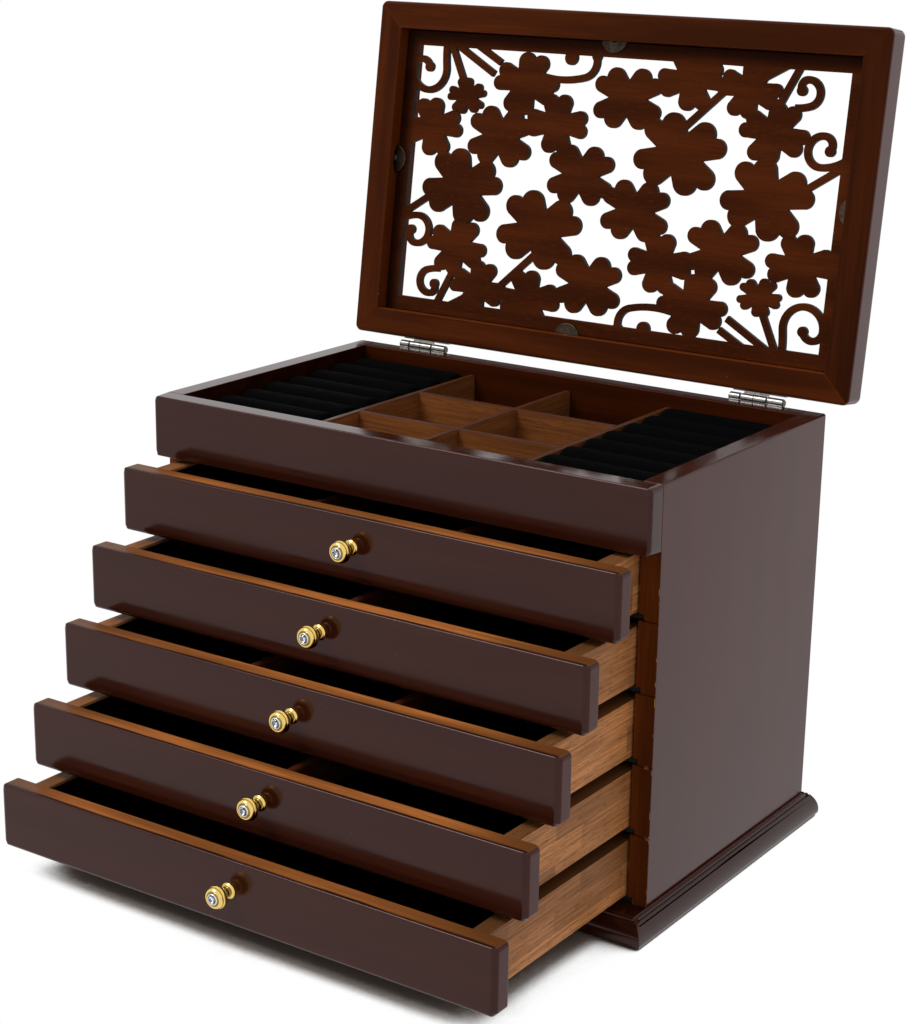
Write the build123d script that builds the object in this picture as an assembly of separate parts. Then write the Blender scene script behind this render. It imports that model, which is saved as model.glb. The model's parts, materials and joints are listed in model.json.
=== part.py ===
"""Jewellery organiser: a lacquered wooden case with five drawers, a sectioned top tray and a fretwork lid.

Millimetres, +Z up. The origin is the centre of the base's underside. The front faces -Y.
The pieces are shown with the lid open and the drawers drawn out in steps.
"""
import os
from math import acos, atan2, cos, degrees, hypot, radians, sin, sqrt

from build123d import *

# Case
case_width = 303.2
case_depth = 184.0
case_height = 214.5
side_thickness = 11.0
back_thickness = 11.5
front_thickness = 11.0
rail_height = 32.6
corner_radius = 2.0
rim_radius = 1.0
seam_size = 0.5
groove_depth = 2.8
groove_height = 3.2
board_setback = 2.0

# Base
plinth_height = 12.5
plinth_overhang = 7.0
felt_thickness = 1.0
felt_inset = 3.0
# The base's moulding from the case outwards, as shares of its overhang and of its height from the top
sunk_shares = ((0.03, 0.08), (0.13, 0.08))
bead_shares = ((0.18, 0.02), (0.25, 0.00), (0.33, 0.03))
quirk_shares = (0.37, 0.13)
ovolo_shares = ((0.43, 0.07), (0.80, 0.36), (1.00, 0.88))
toe_shares = (0.94, 1.00)

# Drawers
drawer_count = 5
top_gap = 1.0
front_gap = 2.4
base_gap = 0.3
stop_gap = 0.4
slide_gap = 0.3
box_gap = 1.0
tail_gap = 4.5
front_radius = 3.0
front_back_radius = 1.0
front_top_radius = 1.0
front_toe_radius = 2.0
wall_thickness = 9.0
wall_drop = 1.5
bottom_thickness = 3.5
bottom_rise = 1.0
lining_thickness = 0.8
lining_drop = 1.5
divider_thickness = 5.0
divider_drop = 5.0
drawer_travel = 130.0
pull_out_shares = (0.202, 0.399, 0.567, 0.757, 0.938)
compartment_counts = (3, 2, 3, 2, 1)

# Knobs
knob_length = 12.5
knob_head_radius = 5.85
knob_rise = 1.2
gem_radius = 2.3
gem_seat = 0.9
gem_crown = 1.3
gem_gap = 0.05
gem_sides = 8
gem_table_share = 0.58
# The knob's outline from its foot to its face, as shares of its head's radius and of its length
knob_shares = (
    (0.70, 0.00),
    (0.70, 0.06),
    (0.62, 0.11),
    (0.44, 0.13),
    (0.38, 0.20),
    (0.38, 0.30),
    (0.54, 0.35),
    (0.60, 0.41),
    (0.54, 0.47),
    (0.86, 0.53),
    (0.98, 0.63),
    (1.00, 0.71),
    (0.95, 0.83),
    (0.80, 0.94),
    (0.56, 1.00),
)

# Tray
tray_floor_thickness = 5.0
tray_lining_thickness = 1.0
partition_thickness = 3.5
partition_drop = 7.4
partition_pitch = 64.0
tray_rows = 3
lap_gap = 0.1
roll_count = 8
roll_drop = 6.5
roll_channel = 4.5
roll_gap = 0.4
roll_end = 3.0
roll_end_share = 0.94

# Lid
lid_overhang = 9.2
lid_front_overhang = 9.6
lid_thickness = 18.4
lid_gap = 1.2
lid_open_angle = 97.8
lid_frame_width = 15.2
lid_corner_radius = 4.0
lid_top_radius = 4.5
lid_edge_radius = 1.8
lip_width = 5.0
mitre_reach_share = 0.4

# Fretwork
fret_recess = 8.0
fret_thickness = 3.0
fret_gap = 0.3
fret_border = 8.5
stem_width = 3.9
scroll_width = 4.0
scroll_ball_radius = 2.9
fret_shift = (-1.2, -0.6)
smallest_hole = 2.0

# Clover leaves, as shares of the clover's radius, which is stretched to the window's half width and height
lobe_radius_share = 0.255
lobe_centre_share = 0.785
waist_share = 0.54
lobe_spread = 16.5
leaf_count = 4
clover_stretch_shares = (0.54, 0.80)

# Half of the fretwork: the other half is the same turned by half a turn.
# Places are shares of the window's half width and half height, lengths shares of its half height.
# Each clover has its place, radius, turn in degrees and number of leaves.
clover_shares = (
    (0.310, 0.339, 0.372, 31, 4),
    (0.712, 0.070, 0.360, 24, 4),
    (0.712, 0.546, 0.272, -20, 4),
    (0.588, 0.845, 0.252, -15, 4),
    (0.328, 0.886, 0.272, 12, 4),
    (0.050, 0.714, 0.301, 46, 4),
    (0.135, -0.112, 0.299, 45, 4),
    (0.541, -0.347, 0.304, 43, 4),
    (0.271, -0.482, 0.270, 2, 4),
    (0.887, -0.377, 0.272, 12, 4),
    (0.728, -0.636, 0.182, -8, 5),
    (0.438, -0.767, 0.285, -15, 4),
)
# Each straight stem has its two ends.
stem_shares = (
    (0.309, 0.517, 0.489, 0.837),
    (0.849, 0.138, 1.030, 0.363),
    (0.721, 0.748, 0.796, 1.040),
    (0.619, 0.908, 0.745, 1.040),
    (0.744, -0.732, 0.822, -1.020),
    (0.599, -0.822, 0.790, -1.020),
    (0.569, -0.912, 0.689, -1.030),
)
# Each scroll has its start, its heading in degrees, and its arcs as radius and turn in degrees.
scroll_shares = (
    (0.788, 0.738, 0, ((0.400, 17), (0.096, 173), (0.050, 115))),
    (1.030, 0.404, 218, ((0.330, -38), (0.112, -190), (0.066, -115))),
    (0.851, -1.020, 90, ((1.100, 9), (0.160, -189), (0.080, -165))),
    (0.370, -0.837, 167, ((0.820, 28), (0.125, 76), (0.300, 8))),
)
# A ball where a scroll ends at the window's edge.
ball_shares = (0.231, -0.985, 0.055)

# Retainers that hold the fretwork in the lid
retainer_radius = 8.25
retainer_thickness = 1.2
retainer_set = 2.0
pocket_room = 1.75
pocket_depth = 4.0
screw_head_radius = 2.5
screw_head_height = 1.1
screw_radius = 1.0
screw_length = 5.0
screw_gap = 0.05
retainer_shares = {"front": -0.04, "back": -0.127, "left": -0.09, "right": -0.03}

# Hinges
hinge_length = 31.5
hinge_inset = 42.6
hinge_setback = 3.6
barrel_radius = 2.35
pin_radius = 1.0
pin_gap = 0.05
pin_head_radius = 1.8
pin_head_height = 0.5
leaf_thickness = 0.45
leaf_width = 8.0
knuckle_gap = 1.0
knuckle_seam = 0.3
outer_knuckle_shares = (0.19, 0.28)

# Levels and planes that follow from the sizes above
base_top = felt_thickness + plinth_height
rim_z = base_top + case_height
front_y = -case_depth / 2
back_y = case_depth / 2
rail_y = front_y + front_thickness
inside_x = case_width / 2 - side_thickness
inside_back_y = back_y - back_thickness
rail_z = rim_z - rail_height
stack_height = case_height - rail_height - top_gap - base_gap - front_gap * (drawer_count - 1)
front_height = stack_height / drawer_count
drawer_pitch = front_height + front_gap
box_x = inside_x - box_gap
wall_x = box_x - wall_thickness
box_length = inside_back_y - rail_y - stop_gap - tail_gap
tray_z = rail_z + tray_floor_thickness
lining_z = tray_z + tray_lining_thickness
partition_z = rim_z - partition_drop
tray_length = inside_back_y - rail_y
row_length = (tray_length - partition_thickness * (tray_rows - 1)) / tray_rows
lid_width = case_width + 2 * lid_overhang
lid_length = case_depth + lid_front_overhang
lid_z = rim_z + lid_gap
lid_front_y = back_y - lid_length
lid_middle_y = back_y - lid_length / 2
opening_x = lid_width / 2 - lid_frame_width
opening_y = lid_length / 2 - lid_frame_width
fret_z = lid_z + fret_recess
lip_z = fret_z + fret_thickness
window_x = opening_x - fret_border
window_y = opening_y - fret_border
hinge_y = back_y + hinge_setback
hinge_z = rim_z + lid_gap / 2


def block(x_span, y_span, z_span):
    """A box between two corners, given as its span along each axis."""
    (x0, x1), (y0, y1), (z0, z1) = sorted(x_span), sorted(y_span), sorted(z_span)
    return Pos((x0 + x1) / 2, (y0 + y1) / 2, (z0 + z1) / 2) * Box(x1 - x0, y1 - y0, z1 - z0)


def save(name, *solids):
    """Write one named piece, or one group of like pieces."""
    shape = solids[0] if len(solids) == 1 else Compound(children=list(solids))
    export_step(shape, os.path.join("parts", name + ".step"))


def front_bottom(number):
    """The lower edge of a drawer front, counted from the top drawer."""
    return rail_z - top_gap - front_height - number * drawer_pitch


def groove_span(number):
    """The levels of the groove and the dust board under a drawer."""
    foot = front_bottom(number) - base_gap
    return (foot, foot + groove_height)


def plinth_section(half_span):
    """The base board seen end on: a sunk fillet, a bead and a quirk by the case, then an ovolo."""

    def at(shares):
        return (half_span + plinth_overhang * shares[0], base_top - plinth_height * shares[1])

    sunk, bead, ovolo = ([at(shares) for shares in table] for table in (sunk_shares, bead_shares, ovolo_shares))
    outline = Polyline((0, felt_thickness), (0, base_top), (half_span, base_top), *sunk, bead[0])
    outline += ThreePointArc(*bead)
    outline += Polyline(bead[-1], at(quirk_shares), ovolo[0])
    outline += ThreePointArc(*ovolo)
    outline += Polyline(ovolo[-1], at(toe_shares), (0, felt_thickness))
    half = make_face(outline)
    return half + mirror(half, Plane.YZ)


def base_board():
    """The moulded board, mitred at the corners by crossing its two end sections."""
    along_y = extrude(Plane.XZ * plinth_section(case_width / 2), amount=case_depth, both=True)
    along_x = extrude(Plane.YZ * plinth_section(case_depth / 2), amount=case_width, both=True)
    return along_y & along_x


def base_felt():
    """The felt under the base, which is the face the box stands on."""
    half_x = case_width / 2 + plinth_overhang * toe_shares[0] - felt_inset
    half_y = case_depth / 2 + plinth_overhang * toe_shares[0] - felt_inset
    return block((-half_x, half_x), (-half_y, half_y), (0, felt_thickness))


def case_side(side):
    """A side board with a groove under each drawer, stepped back below the rail for the fronts."""
    outer_x = side * case_width / 2
    inner_x = side * inside_x
    board = block((inner_x, outer_x), (rail_y, back_y), (base_top, rim_z))
    back_edges = board.edges().filter_by(Axis.Z).group_by(Axis.Y)[-1].sort_by(Axis.X)
    board = fillet(back_edges[-1 if side > 0 else 0], corner_radius)
    top_edges = board.faces().sort_by(Axis.Z)[-1].edges().filter_by(Axis.Y).sort_by(Axis.X)
    board = fillet(top_edges[-1 if side > 0 else 0], rim_radius)
    board -= block((inner_x, outer_x), (rail_y, rail_y + stop_gap), (base_top, rail_z))
    groove_x = (inner_x, inner_x + side * groove_depth)
    for number in range(drawer_count):
        foot = front_bottom(number)
        board -= block(groove_x, (rail_y, inside_back_y), groove_span(number))
        seam_z = (foot - seam_size, foot)
        if number < drawer_count - 1:
            seam_y = (rail_y + stop_gap, rail_y + stop_gap + seam_size)
            board -= block((inner_x, outer_x), seam_y, seam_z)
    return board


def dust_board(number):
    """A thin board in the sides' grooves, on which a drawer slides."""
    reach = inside_x + groove_depth
    return block((-reach, reach), (rail_y + board_setback, inside_back_y), groove_span(number))


def front_rail():
    """The deep rail in front of the tray, as wide as the drawer fronts."""
    rail = block((-case_width / 2, case_width / 2), (front_y, rail_y), (rail_z, rim_z))
    rail = fillet(rail.edges().filter_by(Axis.Z).group_by(Axis.Y)[0], corner_radius)
    rail = fillet(rail.faces().sort_by(Axis.Z)[-1].edges().sort_by(Axis.Y)[:-1], rim_radius)
    return rail


def case_back():
    """The back board between the two sides."""
    board = block((-inside_x, inside_x), (inside_back_y, back_y), (base_top, rim_z))
    return fillet(board.edges().filter_by(Axis.X).group_by(Axis.Z)[-1].sort_by(Axis.Y)[-1], rim_radius)


def partition_y(row):
    """The span of a cross divider of the tray, counted from the front."""
    start = rail_y + (row + 1) * row_length + row * partition_thickness
    return (start, start + partition_thickness)


def tray_partition(place):
    """A tray partition from front to back. The middle one is halved for the cross dividers."""
    middle = place * partition_pitch
    span = (middle - partition_thickness / 2, middle + partition_thickness / 2)
    board = block(span, (rail_y, inside_back_y), (lining_z, partition_z))
    if place == 0:
        lap = ((lining_z + partition_z) / 2, partition_z)
        for row in range(tray_rows - 1):
            near, far = partition_y(row)
            board -= block(span, (near - lap_gap, far + lap_gap), lap)
    return board


def tray_cross(row):
    """A tray divider from side to side, halved where it passes the middle partition."""
    reach = partition_pitch - partition_thickness / 2
    board = block((-reach, reach), partition_y(row), (lining_z, partition_z))
    lap_x = partition_thickness / 2 + lap_gap
    return board - block((-lap_x, lap_x), partition_y(row), (lining_z, (lining_z + partition_z) / 2))


def roll_section(x, share):
    """Soft rolls side by side, seen end on: a round crown for each and a channel between."""
    start, end = rail_y + roll_gap, inside_back_y - roll_gap
    pitch = (end - start) / roll_count
    floor = lining_z
    crown = floor + (rim_z - roll_drop - floor) * share
    valley = crown - roll_channel
    outline = Polyline((start, valley), (start, floor), (end, floor), (end, valley))
    for number in range(roll_count):
        near = start + number * pitch
        outline += ThreePointArc((near, valley), (near + pitch / 2, crown), (near + pitch, valley))
    return Pos(x, 0, 0) * (Plane.YZ * make_face(outline))


def ring_rolls(side):
    """A bank of ring rolls, a little lower at its two ends where the cloth is drawn in."""
    near = side * (partition_pitch + partition_thickness / 2 + roll_gap)
    far = side * (inside_x - roll_gap)
    step = side * roll_end
    stations = ((near, roll_end_share), (near + step, 1), (far - step, 1), (far, roll_end_share))
    sections = [roll_section(x, share) for x, share in stations]
    return loft(sections if side > 0 else sections[::-1], ruled=True)


def drawer_y(number):
    """The front face of a drawer as it stands drawn out."""
    return front_y - drawer_travel * pull_out_shares[number]


def drawer_front(number):
    """A lipped front with rounded ends and a softer lower edge."""
    y, foot = drawer_y(number), front_bottom(number)
    front = block((-case_width / 2, case_width / 2), (y, y + front_thickness), (foot, foot + front_height))
    ends = front.edges().filter_by(Axis.Z).group_by(Axis.Y)
    front = fillet(ends[0], front_radius)
    ends = front.edges().filter_by(Axis.Z).group_by(Axis.Y)
    front = fillet(ends[-1], front_back_radius)
    ahead = front.faces().sort_by(Axis.Y)[0].edges().filter_by(Axis.X).sort_by(Axis.Z)
    front = fillet(ahead[0], front_toe_radius)
    ahead = front.faces().sort_by(Axis.Y)[0].edges().filter_by(Axis.X).sort_by(Axis.Z)
    return fillet(ahead[-1], front_top_radius)


def drawer_foot(number):
    """The lower edge of a drawer's walls, just clear of its dust board."""
    return groove_span(number)[1] + slide_gap


def drawer_spans(number):
    """The drawer box: its front and back planes, and the levels of its floor and its walls' tops."""
    start = drawer_y(number) + front_thickness
    floor = drawer_foot(number) + bottom_rise + bottom_thickness
    top = front_bottom(number) + front_height - wall_drop
    return start, start + box_length, floor, top


def drawer_walls(number):
    """The two sides and the back of a drawer box."""
    start, end, _, top = drawer_spans(number)
    z_span = (drawer_foot(number), top)
    back = block((-wall_x, wall_x), (end - wall_thickness, end), z_span)
    sides = [block((side * wall_x, side * box_x), (start, end), z_span) for side in (-1, 1)]
    return [*sides, back]


def drawer_bottom(number):
    """The bottom panel, held between the walls a little above their lower edges."""
    start, end, floor, _ = drawer_spans(number)
    return block((-wall_x, wall_x), (start, end - wall_thickness), (floor - bottom_thickness, floor))


def drawer_lining(number):
    """The cloth lining of the floor and walls."""
    start, end, floor, top = drawer_spans(number)
    y0, y1 = start, end - wall_thickness
    cloth = block((-wall_x, wall_x), (y0, y1), (floor, top - lining_drop))
    t = lining_thickness
    return cloth - block((t - wall_x, wall_x - t), (y0 + t, y1 - t), (floor + t, top))


def drawer_dividers(number):
    """Loose dividers that part the drawer into equal compartments."""
    start, end, floor, top = drawer_spans(number)
    count = compartment_counts[number]
    inner_x = wall_x - lining_thickness
    y_span = (start + lining_thickness, end - wall_thickness - lining_thickness)
    z_span = (floor + lining_thickness, top - divider_drop)
    room = (2 * inner_x - (count - 1) * divider_thickness) / count
    dividers = []
    for place in range(1, count):
        near = -inner_x + place * room + (place - 1) * divider_thickness
        dividers.append(block((near, near + divider_thickness), y_span, z_span))
    return dividers


def knob_place(number):
    """Where a knob stands on its front, with its own axis along -Y."""
    level = front_bottom(number) + front_height / 2 + knob_rise
    return Pos(0, drawer_y(number), level) * Rot(90, 0, 0)


def knob():
    """A turned brass knob with a flange, a collar and a cupped seat for its stone."""
    turned = [(knob_head_radius * out, knob_length * along) for out, along in knob_shares]
    floor = knob_length - gem_seat
    seat = [(gem_radius, knob_length), (gem_radius, floor), (0, floor)]
    outline = Polyline((0, 0), *turned, *seat, close=True)
    return revolve(Plane.XZ * make_face(outline), Axis.Z)


def gem():
    """A cut stone: a straight girdle in its seat and a faceted crown."""
    radius = gem_radius - gem_gap
    girdle = Pos(0, 0, knob_length) * RegularPolygon(radius, gem_sides)
    table = Pos(0, 0, knob_length + gem_crown) * RegularPolygon(radius * gem_table_share, gem_sides)
    return extrude(girdle, amount=-gem_seat) + loft([girdle, table])


def clover(radius, turn, leaves):
    """A clover, stretched to the window: each heart-shaped leaf has two round lobes and straight sides."""
    wide, high = clover_stretch_shares[0] * window_x, clover_stretch_shares[1] * window_y
    crowding = leaf_count / leaves
    lobe = radius * lobe_radius_share * crowding
    centre = Vector(radius * lobe_centre_share).rotate(Axis.Z, lobe_spread * crowding)
    waist = Vector(radius * waist_share).rotate(Axis.Z, 180 / leaves)
    notch = Vector(centre.X + sqrt(lobe**2 - centre.Y**2), 0)
    reach = centre - waist
    swing = degrees(atan2(reach.Y, reach.X)) + 180 - degrees(acos(lobe / hypot(reach.X, reach.Y)))
    touch = centre + Vector(lobe).rotate(Axis.Z, swing)
    far = centre + Vector(lobe).rotate(Axis.Z, swing / 2)
    outline = Curve()
    for number in range(leaves):
        for hand in (-1, 1):
            points = []
            for point in (waist, touch, far, notch):
                turned = Vector(point.X, point.Y * hand).rotate(Axis.Z, turn + number * 360 / leaves)
                points.append(Vector(turned.X * wide, turned.Y * high))
            outline += Line(points[0], points[1]) + ThreePointArc(*points[1:])
    return make_face(outline)


def stem(start, end):
    """A straight stem between two points."""
    return trace(Line(start, end), stem_width)


def scroll(start, heading, arcs):
    """A scroll of tangent arcs with a ball at its end."""
    at, angle, line = Vector(*start), heading, Curve()
    for radius, sweep in arcs:
        arc = JernArc(at, (cos(radians(angle)), sin(radians(angle))), radius, sweep)
        line += arc
        at, angle = arc @ 1, angle + sweep
    return trace(line, scroll_width) + Pos(at.X, at.Y) * Circle(scroll_ball_radius)


def fretwork():
    """The pierced panel, drawn as seen from inside the lid: clovers, stems and scrolls in a border."""
    half = []
    for across, up, radius, turn, leaves in clover_shares:
        half.append(Pos(across * window_x, up * window_y) * clover(radius, turn, leaves))
    for x0, y0, x1, y1 in stem_shares:
        half.append(stem((x0 * window_x, y0 * window_y), (x1 * window_x, y1 * window_y)))
    for across, up, heading, arcs in scroll_shares:
        bends = [(radius * window_y, sweep) for radius, sweep in arcs]
        half.append(scroll((across * window_x, up * window_y), heading, bends))
    across, up, radius = ball_shares
    half.append(Pos(across * window_x, up * window_y) * Circle(radius * window_y))
    motif = Sketch() + half
    motif = Pos(*fret_shift) * (motif + Rot(0, 0, 180) * motif)
    outer_x, outer_y = opening_x - fret_gap, opening_y - fret_gap
    sheet = Rectangle(2 * outer_x, 2 * outer_y)
    border = sheet - Rectangle(2 * window_x, 2 * window_y)
    panel = (motif & sheet) + border
    holes = [make_face(wire.edges()) for face in panel.faces() for wire in face.inner_wires()]
    panel += [hole for hole in holes if hole.area < smallest_hole**2]
    return extrude(Pos(0, lid_middle_y, fret_z) * Rot(180, 0, 0) * panel, amount=-fret_thickness)


def retainer_places():
    """The centres of the four retainers, half over the panel and half let into the frame."""
    reach_x, reach_y = opening_x + retainer_set, opening_y + retainer_set
    shares = retainer_shares
    return (
        (shares["front"] * window_x, lid_middle_y - reach_y),
        (shares["back"] * window_x, lid_middle_y + reach_y),
        (-reach_x, lid_middle_y + shares["left"] * window_y),
        (reach_x, lid_middle_y + shares["right"] * window_y),
    )


def retainer(x, y):
    """A thin round plate on the panel's inner face."""
    plate = Pos(x, y, fret_z - retainer_thickness / 2) * Cylinder(retainer_radius, retainer_thickness)
    return plate - Pos(x, y, fret_z) * Cylinder(screw_radius + screw_gap, 2 * pocket_depth)


def retainer_screw(x, y):
    """A domed screw through a retainer into the lid frame."""
    ball = (screw_head_radius**2 + screw_head_height**2) / (2 * screw_head_height)
    under = fret_z - retainer_thickness
    dome = Pos(x, y, under - screw_head_height + ball) * Sphere(ball)
    dome &= Pos(x, y, under - screw_head_height / 2) * Cylinder(2 * screw_head_radius, screw_head_height)
    shank = extrude(Pos(x, y, under) * Circle(screw_radius), amount=retainer_thickness + screw_length)
    return dome + shank


def retainer_pocket(x, y):
    """The dished pocket in the frame's inner wall that takes a retainer, with the screw's hole."""
    foot = retainer_radius + pocket_room
    ball = (foot**2 + pocket_depth**2) / (2 * pocket_depth)
    dish = Pos(x, y, fret_z - pocket_depth + ball) * Sphere(ball)
    dish &= Pos(x, y, fret_z - pocket_depth / 2) * Cylinder(2 * foot, pocket_depth)
    return dish + extrude(Pos(x, y, fret_z) * Circle(screw_radius + screw_gap), amount=screw_length)


def lid_frame():
    """The lid's four bars in one: rounded outside, rebated for the panel, pocketed for the retainers."""
    top = lid_z + lid_thickness
    frame = block((-lid_width / 2, lid_width / 2), (lid_front_y, back_y), (lid_z, top))
    frame = fillet(frame.edges().filter_by(Axis.Z), lid_corner_radius)
    frame = fillet(frame.faces().sort_by(Axis.Z)[-1].edges(), lid_top_radius)
    frame = fillet(frame.faces().sort_by(Axis.Z)[0].edges(), lid_edge_radius)
    y0, y1 = lid_middle_y - opening_y, lid_middle_y + opening_y
    frame -= block((-opening_x, opening_x), (y0, y1), (lid_z, lip_z))
    lip_x = opening_x - lip_width
    frame -= block((-lip_x, lip_x), (y0 + lip_width, y1 - lip_width), (lip_z, top))
    for x, y in retainer_places():
        frame -= retainer_pocket(x, y)
    return frame


def mitre_wedge(points):
    """A prism through the lid's thickness that cuts out one mitred bar."""
    return extrude(Pos(0, 0, lid_z) * make_face(Polyline(*points, close=True)), amount=lid_thickness)


def lid_bars():
    """The four bars of the lid frame, mitred at the corners."""
    frame = lid_frame()
    reach = lid_length * mitre_reach_share
    x0, x1, y0, y1 = -lid_width / 2, lid_width / 2, lid_front_y, back_y
    wedges = {
        "lid_rail_front": ((x0, y0), (x1, y0), (x1 - reach, y0 + reach), (x0 + reach, y0 + reach)),
        "lid_rail_back": ((x0, y1), (x1, y1), (x1 - reach, y1 - reach), (x0 + reach, y1 - reach)),
        "lid_stile_left": ((x0, y0), (x0, y1), (x0 + reach, y1 - reach), (x0 + reach, y0 + reach)),
        "lid_stile_right": ((x1, y0), (x1, y1), (x1 - reach, y1 - reach), (x1 - reach, y0 + reach)),
    }
    return {name: frame & mitre_wedge(points) for name, points in wedges.items()}


def knuckle(x_span):
    """A hinge knuckle: a short tube along X on the hinge axis."""
    x0, x1 = x_span
    tube = Circle(barrel_radius)
    return extrude(Pos(x0, hinge_y, hinge_z) * (Plane.YZ * tube), amount=x1 - x0)


def pin_bore(middle):
    """The bore for a hinge pin."""
    tube = Circle(pin_radius + pin_gap)
    return extrude(Pos(middle, hinge_y, hinge_z) * (Plane.YZ * tube), amount=hinge_length, both=True)


def hinge_spans(middle):
    """The knuckles of a hinge along X: two outer ones for the case and two inner ones for the lid."""
    start, end = middle - hinge_length / 2, middle + hinge_length / 2
    first, last = (hinge_length * share for share in outer_knuckle_shares)
    near, far = start + first + knuckle_gap, end - last - knuckle_gap
    seam = ((near + far - knuckle_seam) / 2, (near + far + knuckle_seam) / 2)
    return ((start, start + first), (end - last, end)), ((near, seam[0]), (seam[1], far))


def hinge_leaf(middle, spans, hand):
    """A leaf on the back of the case, or with hand 1 of the lid, and tabs that reach its knuckles."""
    half = hinge_length / 2
    root = hinge_z + hand * (barrel_radius - leaf_thickness)
    plate_z, tab_z = (root, root + hand * leaf_width), (root, root + hand * leaf_thickness)
    leaf = block((middle - half, middle + half), (back_y, back_y + leaf_thickness), plate_z)
    for span in spans:
        leaf += block(span, (back_y, hinge_y), tab_z) + knuckle(span)
    return leaf - pin_bore(middle)


def hinge_pin(middle):
    """A hinge pin with a flat head at each end."""
    half = hinge_length / 2
    place = Pos(middle, hinge_y, hinge_z)
    pin = extrude(place * (Plane.YZ * Circle(pin_radius)), amount=half, both=True)
    for side in (-1, 1):
        head = Pos(side * half, 0, 0) * place * (Plane.YZ * Circle(pin_head_radius))
        pin += extrude(head, amount=side * pin_head_height)
    return pin


def opened(shape):
    """Turn a piece of the closed lid about the hinge to where the lid stands open."""
    place = Pos(0, hinge_y, hinge_z) * Rot(-lid_open_angle, 0, 0) * Pos(0, -hinge_y, -hinge_z)
    return place * shape


def build_case():
    """The case, its base and its tray."""
    save("base_felt", base_felt())
    save("base_board", base_board())
    save("case_side_left", case_side(-1))
    save("case_side_right", case_side(1))
    save("case_back", case_back())
    save("front_rail", front_rail())
    save("dust_boards", *[dust_board(number) for number in range(drawer_count)])
    floor_x, floor_y = (-inside_x, inside_x), (rail_y, inside_back_y)
    save("tray_floor", block(floor_x, floor_y, (rail_z, tray_z)))
    save("tray_lining", block(floor_x, floor_y, (tray_z, lining_z)))
    for name, place in (("left", -1), ("middle", 0), ("right", 1)):
        save("tray_partition_" + name, tray_partition(place))
    for name, row in (("front", 0), ("rear", 1)):
        save("tray_divider_" + name, tray_cross(row))
    save("ring_rolls_left", ring_rolls(-1))
    save("ring_rolls_right", ring_rolls(1))


def build_hinges():
    """The two hinges: leaves on the case, leaves on the lid and the pins."""
    middles = [side * (case_width / 2 - hinge_inset) for side in (-1, 1)]
    case_leaves, lid_leaves = [], []
    for middle in middles:
        outer, inner = hinge_spans(middle)
        case_leaves.append(hinge_leaf(middle, outer, -1))
        lid_leaves.append(opened(hinge_leaf(middle, inner, 1)))
    save("hinge_case_leaves", *case_leaves)
    save("hinge_lid_leaves", *lid_leaves)
    save("hinge_pins", *[hinge_pin(middle) for middle in middles])


def build_lid():
    """The lid: four mitred bars, the fretwork and its retainers."""
    for name, bar in lid_bars().items():
        save(name, opened(bar))
    save("lid_fretwork", opened(fretwork()))
    save("lid_retainers", *[opened(retainer(x, y)) for x, y in retainer_places()])
    save("lid_retainer_screws", *[opened(retainer_screw(x, y)) for x, y in retainer_places()])


def build_drawers():
    """The drawers, from the top one down."""
    for number in range(drawer_count):
        name = f"drawer_{number + 1}_"
        save(name + "front", drawer_front(number))
        save(name + "walls", *drawer_walls(number))
        save(name + "bottom", drawer_bottom(number))
        save(name + "lining", drawer_lining(number))
        dividers = drawer_dividers(number)
        if dividers:
            save(name + "dividers", *dividers)
        save(name + "knob", knob_place(number) * knob())
        save(name + "gem", knob_place(number) * gem())


os.makedirs("parts", exist_ok=True)
build_case()
build_hinges()
build_lid()
build_drawers()
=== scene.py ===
"""Jewellery organiser: a lacquered box with five drawers, a velvet tray and a fretwork lid."""

import json
import math

import bmesh
import bpy
from bpy.props import FloatProperty, FloatVectorProperty, IntProperty, PointerProperty
from mathutils import Euler, Matrix, Vector


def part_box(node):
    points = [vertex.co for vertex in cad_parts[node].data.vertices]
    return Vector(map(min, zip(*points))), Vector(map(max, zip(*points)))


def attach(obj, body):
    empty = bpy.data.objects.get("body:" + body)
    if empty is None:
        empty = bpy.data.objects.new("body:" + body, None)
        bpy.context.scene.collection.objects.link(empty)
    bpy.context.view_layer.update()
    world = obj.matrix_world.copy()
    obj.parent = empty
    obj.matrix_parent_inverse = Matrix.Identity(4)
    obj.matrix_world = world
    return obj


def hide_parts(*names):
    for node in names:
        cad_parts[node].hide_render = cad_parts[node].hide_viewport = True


bl_info = {
    "name": "Jewellery Organiser",
    "version": (1, 0, 0),
    "blender": (4, 5, 0),
    "location": "3D View > Sidebar > Organiser",
    "description": "Builds the finished pieces of a jewellery organiser over its packed frame",
    "category": "Object",
}

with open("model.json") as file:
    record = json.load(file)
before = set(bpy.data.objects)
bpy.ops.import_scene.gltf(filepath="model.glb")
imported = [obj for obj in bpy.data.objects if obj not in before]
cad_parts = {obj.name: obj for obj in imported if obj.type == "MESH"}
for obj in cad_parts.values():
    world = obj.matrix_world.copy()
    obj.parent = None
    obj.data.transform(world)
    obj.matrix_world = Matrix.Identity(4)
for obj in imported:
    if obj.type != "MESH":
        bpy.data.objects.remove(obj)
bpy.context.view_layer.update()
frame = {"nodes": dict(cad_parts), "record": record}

MM = 0.001
DRAWERS = tuple(f"drawer_{number}" for number in range(1, 6))
BODY_OF = {node: body for body, nodes in frame["record"]["behaviour"]["bodies"].items() for node in nodes}

# Radius of the rounded corners of the drawer fronts and the front rail
CORNER = 3.0 * MM

# The open lid leans back by this much
LEAN = math.radians(7.8)
LID_INWARD = Vector((0, -math.cos(LEAN), math.sin(LEAN)))

# Turns that lay the grain, which runs along X in a pattern, along a piece
ALONG_X = (0.0, 0.0, 0.0)
ALONG_Y = (0.0, 0.0, -math.pi / 2)
ALONG_Z = (0.0, math.pi / 2, 0.0)
LID_ALONG = (LEAN, 0.0, 0.0)
LID_UP = (LEAN, math.pi / 2, 0.0)


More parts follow.
